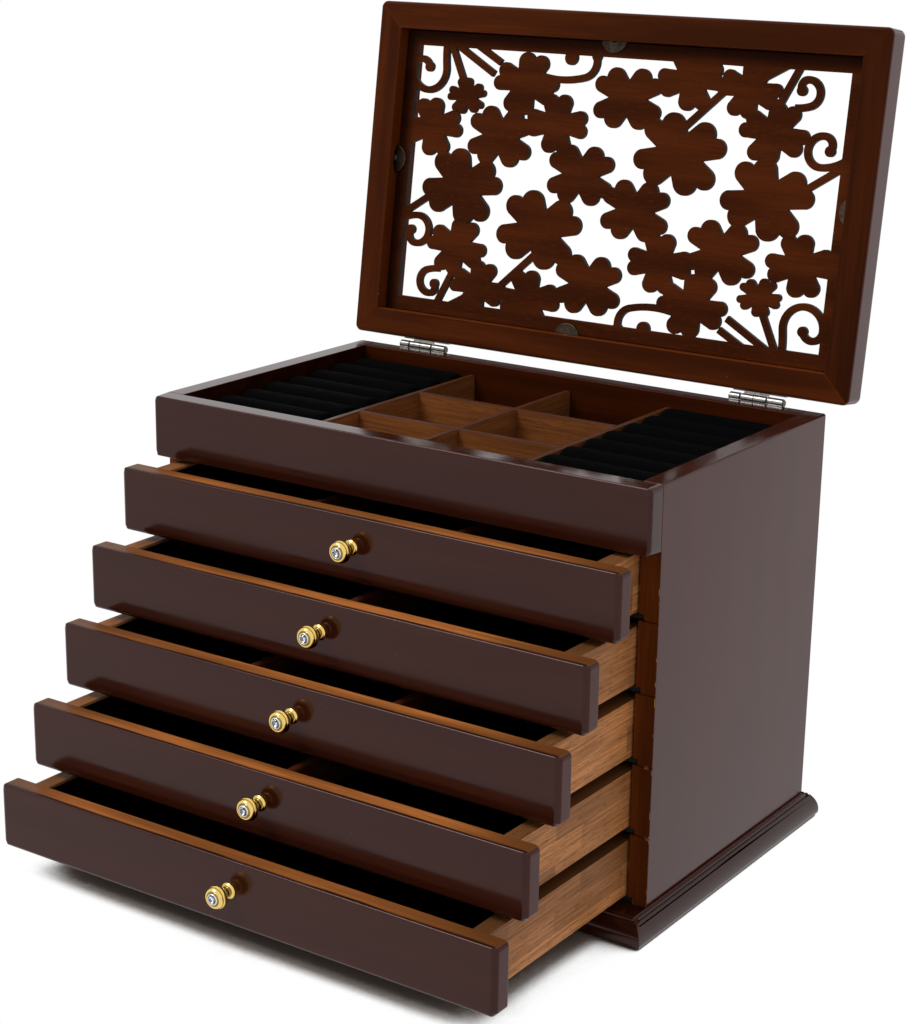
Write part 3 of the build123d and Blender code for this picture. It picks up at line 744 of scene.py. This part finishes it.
class ORGANISER_OT_drawers(bpy.types.Operator):
    """Finish the drawers: fronts, walls, bottoms and dividers"""

    bl_idname = "organiser.drawers"
    bl_label = "Drawers"

    def execute(self, context):
        look, timber = context.scene.organiser_lacquer, context.scene.organiser_timber
        fronts = made_once("lacquer_along", lacquer, ALONG_X)
        # Painted sheen: the fronts' ends take the redder side body colour, standing in for their warmer
        # reflection
        ends = made_once("lacquer_ends", lacquer, ALONG_X, look.side, 1.29)
        tops = made_once("stained_top", stained_top)
        walls = made_once("drawer_wall_wood", strip_wood)
        tints = (timber.red, Vector(timber.red) * 0.4, 0.22, 0.4)
        parts = made_once("drawer_divider_wood", stroked_wood, ALONG_Y, *tints)
        panel = made_once("faced_black_panel", faced_panel)
        for drawer in DRAWERS:
            self.front(drawer + "_front", (fronts, tops, ends), look.edge)
            finished_node(
                drawer + "_walls", walls, "drawer_wood", timber.edge,
                masks=[("top", self.is_top), ("stained", self.is_shaded_right_top)],
            )
            finished_node(drawer + "_bottom", panel, "black_panel", timber.edge)
            if drawer + "_dividers" in frame["nodes"]:
                finished_node(drawer + "_dividers", parts, "divider_wood", 5 * timber.edge)
        return {"FINISHED"}

    def is_top(self, face):
        """Whether a face of the walls looks up."""
        return face.normal.z > 0.8

    def is_shaded_right_top(self, face):
        """Whether a face is the top of the right wall, which is darkened as painted shade."""
        return self.is_top(face) and face.calc_center_median().x > 0.1

    def front(self, node, finishes, edge):
        """A drawer front with a stained top, which knows how far each point lies behind its face."""
        low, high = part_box(node)
        shape = from_node(node)
        for face in shape.faces:
            if face.normal.z > 0.9:
                face.material_index = 1
            elif abs(face.normal.x) > 0.9:
                face.material_index = 2
        soften(shape, edge)
        round_corners(shape, low, high, CORNER, 0)
        depth = shape.verts.layers.float.new("depth")
        for vert in shape.verts:
            vert[depth] = (vert.co.y - low.y) / (high.y - low.y)
        finish_piece(shape, node, "finished", "lacquered_wood", *finishes)


class ORGANISER_OT_linings(bpy.types.Operator):
    """Line the drawers and the tray with velvet, and the base with felt"""

    bl_idname = "organiser.linings"
    bl_label = "Linings"

    def execute(self, context):
        soft = context.scene.organiser_cloth
        velvet = black_velvet()
        for drawer in DRAWERS:
            self.drawer_lining(drawer, velvet, soft.thickness)
        felt = made_once("base_felt_cloth", cloth, soft.felt, 0.05, 0.3 * MM)
        self.laid("tray_lining", velvet, "velvet", ["tray_floor"])
        self.laid("base_felt", felt, "felt", ["base_board"])
        return {"FINISHED"}

    def drawer_lining(self, drawer, velvet, thickness):
        """One cloth turned up the four walls, rounded where it bends."""
        node = drawer + "_lining"
        low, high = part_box(node)
        shape = boxed(low, high)
        top = [face for face in shape.faces if face.normal.z > 0.5]
        bmesh.ops.delete(shape, geom=top, context="FACES_ONLY")
        inside = [edge for edge in shape.edges if len(edge.link_faces) == 2]
        bevelled(shape, inside, 0.5 * MM, 3)
        bmesh.ops.solidify(shape, geom=shape.faces, thickness=thickness)
        piece = finish_piece(shape, node, "cloth", "velvet", velvet)

    def laid(self, node, finish, slot, under):
        """A flat cloth with softened edges."""
        low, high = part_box(node)
        shape = boxed(low, high)
        rim = [edge for edge in shape.edges if abs(edge.verts[0].co.z - edge.verts[1].co.z) < 0.1 * MM]
        bevelled(shape, rim, 0.3 * MM, 2)
        piece = finish_piece(shape, node, "cloth", slot, finish)


class ORGANISER_OT_ring_rolls(bpy.types.Operator):
    """Stuff the velvet ring rolls, a bank on each side of the tray"""

    bl_idname = "organiser.ring_rolls"
    bl_label = "Ring Rolls"

    # Room round a slack roll for its filling, how far rolls lie out of line, and the crown above the box
    SLACK = 1.1 * MM
    STRAY = 0.5 * MM
    CROWN = 1.2 * MM
    # Roundings of a roll along its top and at its ends
    SHOULDER = 7.6 * MM
    TUCK = 2.4 * MM
    # Size of the cloth's cells and length of the simulation in frames
    CELL = 2.0 * MM
    FRAMES = 20

    def execute(self, context):
        soft = context.scene.organiser_cloth
        velvet = black_velvet()
        low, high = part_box("ring_rolls_right")
        bank = bmesh.new()
        pitch = (high.y - low.y) / soft.rolls
        for number in range(soft.rolls):
            start = low.y + number * pitch
            filled = self.filled(self.roll(low, high, start, pitch, number), soft)
            bank.from_mesh(filled)
            bpy.data.meshes.remove(filled)
        other = bank.copy()
        bmesh.ops.scale(other, verts=other.verts, vec=(-1, 1, 1))
        bmesh.ops.recalc_face_normals(other, faces=other.faces)
        for shape, node in ((bank, "ring_rolls_right"), (other, "ring_rolls_left")):
            piece = finish_piece(shape, node, "stuffed", "velvet", velvet, even=False)
        return {"FINISHED"}

    def roll(self, low, high, start, pitch, number):
        """One slack roll: flat below, round above, drawn in at its ends."""
        ease = self.STRAY * math.sin(2.4 * number + 0.7)
        crown = high.z + self.CROWN + 0.4 * ease
        shape = boxed(
            (low.x + self.SLACK + ease, start + self.SLACK, low.z),
            (high.x - self.SLACK + ease, start + pitch - self.SLACK, crown),
        )
        along = [edge for edge in shape.edges if abs(edge.verts[0].co.x - edge.verts[1].co.x) > 10 * MM]
        upper = [edge for edge in along if edge.verts[0].co.z > low.z + 5 * MM]
        bevelled(shape, upper, self.SHOULDER, 6, clamp=True)
        bevelled(shape, sharp_edges(shape, 60), self.TUCK, 3, clamp=True)
        return shape

    def filled(self, shape, soft):
        """The roll's cloth pushed out by its filling, within its cap."""
        mesh = bpy.data.meshes.new("roll")
        shape.to_mesh(mesh)
        shape.free()
        slack = bpy.data.objects.new("roll", mesh)
        bpy.context.scene.collection.objects.link(slack)
        remesh = slack.modifiers.new("Remesh", "REMESH")
        remesh.mode = "VOXEL"
        remesh.voxel_size = self.CELL
        start = bpy.data.meshes.new_from_object(slack.evaluated_get(bpy.context.evaluated_depsgraph_get()))
        slack.modifiers.clear()
        slack.data = start
        bpy.data.meshes.remove(mesh)
        self.simulate(slack, soft)
        smooth = slack.modifiers.new("Smooth", "SUBSURF")
        smooth.levels = smooth.render_levels = 1
        done = bpy.data.meshes.new_from_object(slack.evaluated_get(bpy.context.evaluated_depsgraph_get()))
        start = slack.data
        bpy.data.objects.remove(slack)
        bpy.data.meshes.remove(start)
        return done

    def simulate(self, slack, soft):
        """Run the cloth and keep each point within its cap and above the tray's floor."""
        scene = bpy.context.scene
        before = [vert.co.copy() for vert in slack.data.vertices]
        stuffed = slack.modifiers.new("Cloth", "CLOTH")
        stuffed.settings.use_pressure = True
        stuffed.settings.uniform_pressure_force = soft.pressure
        stuffed.settings.effector_weights.gravity = 0
        for number in range(1, self.FRAMES + 1):
            scene.frame_set(number)
        after = slack.evaluated_get(bpy.context.evaluated_depsgraph_get()).data
        moved = [vert.co.copy() for vert in after.vertices]
        slack.modifiers.clear()
        scene.frame_set(1)
        floor = min(point.z for point in before)
        for vert, old, new in zip(slack.data.vertices, before, moved):
            push = new - old
            if push.length > soft.swell:
                push.length = soft.swell
            vert.co = old + push
            vert.co.z = max(vert.co.z, floor)


class ORGANISER_OT_knobs(bpy.types.Operator):
    """Turn the brass knobs and set their stones"""

    bl_idname = "organiser.knobs"
    bl_label = "Knobs"

    # Radius and height of the turned knob, in millimetres from the drawer front
    PROFILE = (
        (0, 0), (4.1, 0), (4.1, 0.5), (3.95, 0.8), (3.7, 0.9), (3.6, 1.05), (3.45, 1.35), (3.0, 1.55),
        (2.6, 1.65), (2.35, 2.0), (2.22, 2.6), (2.22, 3.4), (2.4, 3.9), (2.9, 4.2), (3.3, 4.5), (3.45, 5.0),
        (3.3, 5.5), (3.0, 5.75), (3.4, 6.1), (4.5, 6.5), (5.4, 7.2), (5.8, 8.0), (5.85, 8.7), (5.7, 9.5),
        (5.45, 9.95), (5.3, 10.15), (5.25, 10.5), (5.0, 11.1), (4.6, 11.6), (4.2, 11.8), (3.8, 11.7),
        (3.4, 11.35), (3.1, 11.15), (2.95, 11.25), (2.9, 12.0), (2.75, 12.4), (2.45, 12.4), (2.3, 12.1),
        (2.28, 11.7), (0, 11.62),
    )
    # Heights of the grooves, in millimetres, which are painted dark in place of their shade and dark
    # reflections
    GROOVES = ((1.6, 4.0), (5.5, 6.5), (9.9, 10.6))
    # Height where the seat begins, and the radii of its foil, its silver ring and the line round it that is
    # painted dark
    SEAT = 11 * MM
    FOIL = 2.2 * MM
    RING = 2.94 * MM
    DARK_LINE = 3.7 * MM
    # Radius and height of the stone's table, and the radius, drop and turn of each ring of facets below it
    TABLE = (1.15 * MM, 13.35 * MM)
    FACETS = ((1.75, 0.45, 15), (2.2, 0.40, 0), (2.2, 0.12, 0), (0.25, 0.62, 15))

    def execute(self, context):
        metals = context.scene.organiser_metal
        brass = made_once("polished_brass", metal, metals.brass, 0.06, 0.16, 0.15)
        silver = made_once("silver_ring", metal, metals.silver, 0.10, 0.20, 0.1)
        foil = made_once("stone_foil", metal, metals.steel, 0.15, 0.30, 0.3)
        stone = made_once("clear_stone", clear_stone)
        for drawer in DRAWERS:
            low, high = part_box(drawer + "_knob")
            place = Matrix.Translation(((low.x + high.x) / 2, high.y, (low.z + high.z) / 2))
            place = place @ Euler((math.radians(90), 0, 0)).to_matrix().to_4x4()
            self.knob(drawer, (brass, silver, foil), place)
            self.stone(drawer, stone, place)
        return {"FINISHED"}

    def knob(self, drawer, finishes, place):
        """The turned knob, with a silver ring round its seat and dark foil in it."""
        shape = turned([(radius * MM, height * MM) for radius, height in self.PROFILE], 48)
        for face in shape.faces:
            at = face.calc_center_median()
            out = math.hypot(at.x, at.y)
            if at.z > self.SEAT and out < self.RING:
                face.material_index = 1 if out > self.FOIL else 2
        mark(shape, "groove", self.is_groove)
        bmesh.ops.transform(shape, matrix=place, verts=shape.verts)
        finish_piece(shape, drawer + "_knob", "turned", "brass", *finishes, even=False)

    def is_groove(self, face):
        """Whether a face lies in a groove of the knob or round the foot of the silver ring, where painted
        shade darkens it.
        """
        at = face.calc_center_median()
        out = math.hypot(at.x, at.y)
        foot = at.z > self.SEAT and self.RING < out < self.DARK_LINE
        return foot or any(low * MM < at.z < high * MM for low, high in self.GROOVES)

    def stone(self, drawer, finish, place):
        """A round stone: a flat table, a faceted crown, a thin girdle and a pointed back."""
        shape = bmesh.new()
        wide, high = self.TABLE
        bmesh.ops.create_circle(shape, cap_ends=True, segments=12, radius=wide)
        table = shape.faces[:]
        bmesh.ops.translate(shape, verts=shape.verts, vec=(0, 0, high))
        for radius, drop, turn in self.FACETS:
            rim = [edge for edge in shape.edges if edge.is_boundary]
            made = bmesh.ops.extrude_edge_only(shape, edges=rim)["geom"]
            ring = [item for item in made if isinstance(item, bmesh.types.BMVert)]
            for vert in ring:
                out = math.hypot(vert.co.x, vert.co.y)
                vert.co.x *= radius * MM / out
                vert.co.y *= radius * MM / out
            bmesh.ops.translate(shape, verts=ring, vec=(0, 0, -drop * MM))
            bmesh.ops.rotate(shape, verts=ring, matrix=Matrix.Rotation(math.radians(turn), 3, "Z"))
        bmesh.ops.contextual_create(shape, geom=[edge for edge in shape.edges if edge.is_boundary])
        bmesh.ops.triangulate(shape, faces=[face for face in shape.faces if face not in table])
        bmesh.ops.recalc_face_normals(shape, faces=shape.faces)
        bmesh.ops.transform(shape, matrix=place, verts=shape.verts)
        finish_piece(shape, drawer + "_gem", "cut", "crystal", finish, even=False).data.shade_flat()


class ORGANISER_OT_lid(bpy.types.Operator):
    """Finish the lid: its four bars and the pierced panel"""

    bl_idname = "organiser.lid"
    bl_label = "Lid"

    def execute(self, context):
        look = context.scene.organiser_lacquer
        middle = sum(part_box("lid_fretwork"), Vector()) / 2
        # The fourth value of each row scales that bar's inner wood tint as painted light and shade: lighter
        # on the back rail, darker on the front rail and the right stile
        bars = (
            ("lid_rail_front", "along", LID_ALONG, 0.95, "painted_recess_shade"),
            ("lid_rail_back", "along", LID_ALONG, 1.1, "painted_sill_light"),
            ("lid_stile_left", "upright", LID_UP, 1.0, "painted_sill_light"),
            ("lid_stile_right", "upright", LID_UP, 0.62, "painted_recess_shade"),
        )
        for node, way, turn, shade, painted_shading_mask in bars:
            # Painted sheen: the lid's outer faces take the redder side body colour, standing in for their
            # warmer reflection
            outside = made_once("lid_lacquer_" + way, lacquer, turn, look.side)
            inside = made_once(node + "_wood", satin_wood, turn, Vector(look.lid) * shade)
            to_middle = middle - sum(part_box(node), Vector()) / 2

            def is_recess(face, to_middle=to_middle):
                sideways = face.normal - LID_INWARD * face.normal.dot(LID_INWARD)
                return sideways.length > 0.7 and sideways.dot(to_middle) > 0.5 * to_middle.length

            def is_inside(face, is_recess=is_recess):
                return face.normal.dot(LID_INWARD) > 0.6 or is_recess(face)

            # Each bar's recess walls carry its painted shade or painted light mask
            finished_node(
                node, outside, "lacquered_wood", look.edge, [(inside, is_inside)],
                masks=[(painted_shading_mask, is_recess)],
            )
        finished_node(
            "lid_fretwork", made_once("fret_wood", fret_wood), "fretwork_wood", 0.25 * MM,
            masks=[("cut", lambda face: abs(face.normal.dot(LID_INWARD)) < 0.5)], merge=0.15 * MM, angle=50,
        )
        return {"FINISHED"}


class ORGANISER_OT_retainers(bpy.types.Operator):
    """Turn the round retainers and their screws"""

    bl_idname = "organiser.retainers"
    bl_label = "Retainers"

    # Radius and height above the panel, in millimetres
    PLATE = (
        (0, 0), (8.0, 0), (8.25, 0.2), (8.25, 0.6), (8.1, 0.9), (7.7, 1.05), (7.2, 0.95), (6.9, 0.8),
        (3.6, 0.8), (3.2, 0.95), (2.7, 0.9), (0, 0.9),
    )
    SCREW = (
        (0, -4.8), (0.6, -4.8), (1.0, -4.0), (1.0, 0.95), (2.45, 0.95), (2.5, 1.2), (2.35, 1.65), (1.95, 2.0),
        (1.4, 2.2), (1.1, 2.2), (0.95, 1.9), (0.8, 1.2), (0, 1.1),
    )

    def execute(self, context):
        metals = context.scene.organiser_metal
        bronze = made_once("dark_bronze", metal, metals.bronze, 0.42, 0.58, 0.6)
        for node, profile in (("lid_retainers", self.PLATE), ("lid_retainer_screws", self.SCREW)):
            shape = bmesh.new()
            for place in self.places():
                one = turned([(radius * MM, height * MM) for radius, height in profile], 36)
                bmesh.ops.transform(one, matrix=place, verts=one.verts)
                part = bpy.data.meshes.new("part")
                one.to_mesh(part)
                one.free()
                shape.from_mesh(part)
                bpy.data.meshes.remove(part)
            finish_piece(shape, node, "turned", "bronze", bronze)
        return {"FINISHED"}

    def places(self):
        """Where each retainer lies on the panel, facing into the lid."""
        axes = (Vector((1, 0, 0)), Vector((0, math.sin(LEAN), math.cos(LEAN))), LID_INWARD)
        found = []
        for points in loose_parts(from_node("lid_retainers")):
            spans = [[point.dot(axis) for point in points] for axis in axes]
            across = (min(spans[0]) + max(spans[0])) / 2
            up = (min(spans[1]) + max(spans[1])) / 2
            at = axes[0] * across + axes[1] * up + axes[2] * min(spans[2])
            found.append(Matrix.Translation(at) @ Matrix(axes).transposed().to_4x4())
        return found


class ORGANISER_OT_hinges(bpy.types.Operator):
    """Finish the hinges and their pins"""

    bl_idname = "organiser.hinges"
    bl_label = "Hinges"

    def execute(self, context):
        metals = context.scene.organiser_metal
        nickel = made_once("bright_nickel", metal, metals.nickel, 0.07, 0.18, 0.4)
        steel = made_once("dark_steel", metal, metals.steel, 0.25, 0.40, 0.3)
        for node in ("hinge_case_leaves", "hinge_lid_leaves"):
            finished_node(node, nickel, "nickel", 0.15 * MM, merge=0.01 * MM)
        finished_node("hinge_pins", steel, "nickel", 0.1 * MM, merge=0.01 * MM)
        return {"FINISHED"}


class ORGANISER_OT_stage(bpy.types.Operator):
    """Lay the floor, hang the lights and place the camera"""

    bl_idname = "organiser.stage"
    bl_label = "Stage"

    # Half the floor's width, and the shares of open sky at which its shadow is full and gone
    FLOOR_REACH = 15
    SHADOW_SHARES = (0.26, 0.46)
    # Where the key light hangs and how wide it looks
    KEY_FROM = Vector((-0.50, -0.55, 1.0))
    KEY_WIDTH = math.radians(28)
    # The camera's film, how far the picture is moved on it, and what it can see
    FILM = 36
    SHIFT = (0.0043, 0.0100)
    CLIP = (0.01, 100)

    def execute(self, context):
        scene = context.scene
        stage = scene.organiser_stage
        self.floor(stage)
        self.world(scene, stage)
        self.lights(scene, stage)
        self.camera(scene, stage)
        scene.view_settings.view_transform = "Standard"
        return {"FINISHED"}

    def seen(self, tree):
        """1 for what the camera, a reflection or a clear stone sees, 0 for light that falls on the object."""
        path = add(tree, "ShaderNodeLightPath").outputs
        either = calc(tree, "ADD", path["Is Camera Ray"], path["Is Glossy Ray"])
        return calc(tree, "ADD", either, path["Is Transmission Ray"])

    def floor(self, stage):
        """A pale floor that keeps the object's shadow and is white where the sky is open over it."""
        shape = bmesh.new()
        bmesh.ops.create_grid(shape, x_segments=1, y_segments=1, size=self.FLOOR_REACH)
        mesh = bpy.data.meshes.new("floor")
        shape.to_mesh(mesh)
        shape.free()
        floor = bpy.data.objects.new("floor", mesh)
        bpy.context.scene.collection.objects.link(floor)
        finish = bpy.data.materials.new("floor")
        finish.use_nodes = True
        tree = finish.node_tree
        tree.nodes.clear()
        seen = self.seen(tree)
        sky = add(tree, "ShaderNodeAmbientOcclusion", {"Distance": stage.shadow}, samples=16)
        glow = calc(tree, "MULTIPLY", ramp(tree, sky.outputs["AO"], *self.SHADOW_SHARES), seen)
        tint = mix(tree, seen, stage.floor, stage.shade)
        lit = add(tree, "ShaderNodeBsdfDiffuse", {"Color": tint}).outputs[0]
        white = add(tree, "ShaderNodeEmission", {"Color": (1, 1, 1, 1), "Strength": 1.0}).outputs[0]
        both = add(tree, "ShaderNodeMixShader", {0: glow, 1: lit, 2: white}).outputs[0]
        add(tree, "ShaderNodeOutputMaterial", {"Surface": both})
        mesh.materials.append(finish)

    def world(self, scene, stage):
        """White all round where it is seen, and an even soft light."""
        world = bpy.data.worlds.new("studio")
        scene.world = world
        world.use_nodes = True
        tree = world.node_tree
        tree.nodes.clear()
        levels = {"Value": self.seen(tree), "To Min": stage.ambient, "To Max": 1.0}
        strength = add(tree, "ShaderNodeMapRange", levels).outputs[0]
        light = add(tree, "ShaderNodeBackground", {"Color": (1, 1, 1, 1), "Strength": strength})
        add(tree, "ShaderNodeOutputWorld", {"Surface": light.outputs[0]})

    def lights(self, scene, stage):
        """A wide high light from the front and left."""
        key = bpy.data.lights.new("key", "SUN")
        key.energy = stage.key
        key.angle = self.KEY_WIDTH
        lamp = bpy.data.objects.new("key", key)
        scene.collection.objects.link(lamp)
        lamp.rotation_euler = self.KEY_FROM.to_track_quat("Z", "Y").to_euler()

    def camera(self, scene, stage):
        """The camera at the photograph's angle."""
        turn, tilt, roll = stage.turn
        back = Vector((math.sin(turn) * math.cos(tilt), -math.cos(turn) * math.cos(tilt), math.sin(tilt)))
        right = (-back).cross(Vector((0, 0, 1))).normalized()
        up = right.cross(-back)
        side = right * math.cos(roll) + up * math.sin(roll)
        top = up * math.cos(roll) - right * math.sin(roll)
        lens = bpy.data.cameras.new("camera")
        lens.lens = stage.lens
        lens.sensor_width = self.FILM
        lens.shift_x, lens.shift_y = self.SHIFT
        lens.clip_start, lens.clip_end = self.CLIP
        camera = bpy.data.objects.new("camera", lens)
        scene.collection.objects.link(camera)
        camera.matrix_world = Matrix.Translation(stage.eye) @ Matrix((side, top, back)).transposed().to_4x4()
        scene.camera = camera


OPERATORS = (
    ORGANISER_OT_case,
    ORGANISER_OT_tray,
    ORGANISER_OT_drawers,
    ORGANISER_OT_linings,
    ORGANISER_OT_ring_rolls,
    ORGANISER_OT_knobs,
    ORGANISER_OT_lid,
    ORGANISER_OT_retainers,
    ORGANISER_OT_hinges,
    ORGANISER_OT_stage,
)

GROUPS = {
    "organiser_lacquer": LacquerFinish,
    "organiser_timber": TimberFinish,
    "organiser_cloth": ClothFinish,
    "organiser_metal": MetalFinish,
    "organiser_stage": StageSettings,
}


class ORGANISER_PT_pieces(bpy.types.Panel):
    """The organiser's settings and pieces"""

    bl_idname = "ORGANISER_PT_pieces"
    bl_label = "Jewellery Organiser"
    bl_space_type = "VIEW_3D"
    bl_region_type = "UI"
    bl_category = "Organiser"

    def draw(self, context):
        for name, kind in GROUPS.items():
            box = self.layout.box()
            box.label(text=kind.__doc__)
            for entry in kind.__annotations__:
                box.prop(getattr(context.scene, name), entry)
        for operator in OPERATORS:
            self.layout.operator(operator.bl_idname)


def register():
    for name, kind in GROUPS.items():
        bpy.utils.register_class(kind)
        setattr(bpy.types.Scene, name, PointerProperty(type=kind))
    for kind in (*OPERATORS, ORGANISER_PT_pieces):
        bpy.utils.register_class(kind)


def unregister():
    for kind in (ORGANISER_PT_pieces, *reversed(OPERATORS)):
        bpy.utils.unregister_class(kind)
    for name, kind in reversed(GROUPS.items()):
        delattr(bpy.types.Scene, name)
        bpy.utils.unregister_class(kind)


def main():
    register()
    for operator in OPERATORS:
        family, name = operator.bl_idname.split(".")
        getattr(getattr(bpy.ops, family), name)()


if __name__ == "__main__":
    main()
